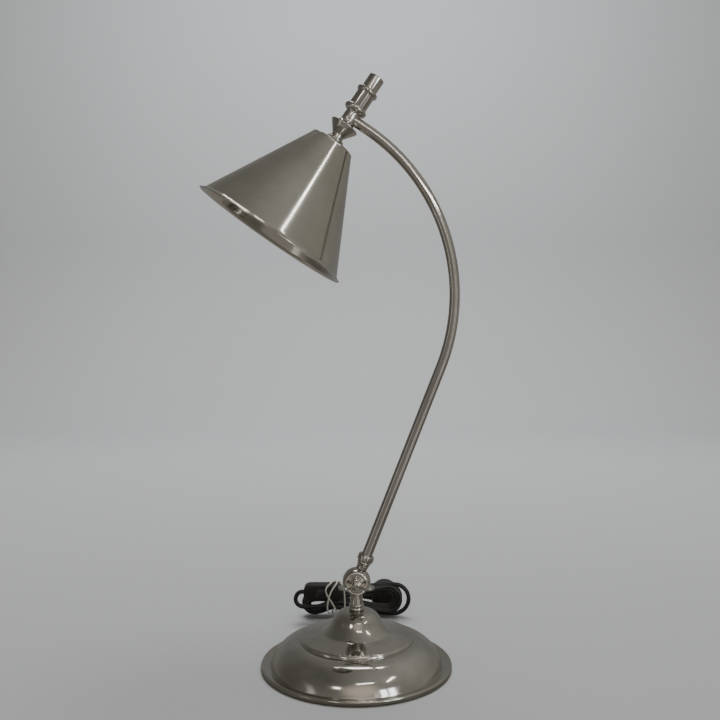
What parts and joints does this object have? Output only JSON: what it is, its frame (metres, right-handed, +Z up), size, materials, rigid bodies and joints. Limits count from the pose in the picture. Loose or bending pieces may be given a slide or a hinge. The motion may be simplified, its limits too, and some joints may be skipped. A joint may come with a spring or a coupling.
{
  "type": "pharmacy table lamp",
  "caption": "Pharmacy table lamp: domed weighted base, ball knuckle with a wing screw, bent tube arm, turned head and conical metal shade, with a tied cord.",
  "frame": {"origin": "middle of the base's underside, on the table", "axes": "+Z up; the arm lies in the XZ plane with the shade towards -X; the knuckle's hinge runs along Y, with the wing screw on the -Y side"},
  "size_m": [0.2458, 0.2845, 0.5625],
  "materials": {
    "polished_nickel": "polished nickel plate, slightly tarnished",
    "satin_nickel": "satin nickel plate",
    "cast_iron": "as cast, painted black",
    "felt": "pressed felt",
    "steel": "zinc plated",
    "brass": "plain",
    "prong_nickel": "nickel plate",
    "black_sheath": "smooth soft sheath",
    "black_moulding": "moulded, half gloss",
    "holder_moulding": "moulded",
    "opal_glass": "opal",
    "white_tie": "covered elastic",
    "fibre": "pressed fibre"
  },
  "bodies": {
    "base": {"base_cover": "polished_nickel", "base_weight": "cast_iron", "base_felt": "felt", "base_rod": "steel", "base_washer": "steel", "base_nut": "steel", "cord_gland": "black_sheath", "stem_flex": "black_sheath", "lower_knuckle": "polished_nickel", "knuckle_washer": "fibre", "wing_washer": "polished_nickel", "cord_lead": "black_sheath", "cord_hank": "black_sheath", "cord_tie": "white_tie", "switch_base": "black_moulding", "switch_cover": "black_moulding", "switch_screws": "steel", "switch_pivot": "steel", "switch_contacts": "brass", "plug_body": "black_moulding", "plug_prongs": "prong_nickel"},
    "arm": {"upper_knuckle": "polished_nickel", "arm_tube": "polished_nickel", "arm_flex": "black_sheath"},
    "wing_screw": {"wing_screw": "polished_nickel"},
    "head": {"head_body": "polished_nickel", "head_grub_screw": "steel", "head_handle": "polished_nickel", "head_cup": "polished_nickel", "shade_collar": "polished_nickel", "shade_nipple": "steel", "shade": "satin_nickel", "shade_locknut": "steel", "lampholder_cap": "holder_moulding", "lampholder_body": "holder_moulding", "lampholder_sleeve": "brass", "lampholder_contact": "brass", "bulb_cap": "brass", "bulb_glass": "opal_glass", "head_flex": "black_sheath"},
    "rocker": {"switch_rocker": "black_moulding"}
  },
  "joints": [
    {"name": "arm_tilt", "type": "hinge", "parent": "base", "child": "arm", "pos_m": [0, 0, 0.0795], "axis": [0, 1, 0], "range_deg": [-60, 45]},
    {"name": "wing_screw_turn", "type": "hinge", "parent": "arm", "child": "wing_screw", "pos_m": [0, 0, 0.0795], "axis": [0, -1, 0], "range_deg": [0, 270]},
    {"name": "head_swivel", "type": "hinge", "parent": "arm", "child": "head", "pos_m": [-0.00627, 0, 0.5203], "axis": [-0.8281, 0, 0.5606], "range_deg": [-90, 90]},
    {"name": "rocker_tip", "type": "hinge", "parent": "base", "child": "rocker", "pos_m": [-0.0374, 0.1152, 0.0334], "axis": [0, 0, 1], "range_deg": [-16, 0]}
  ]
}
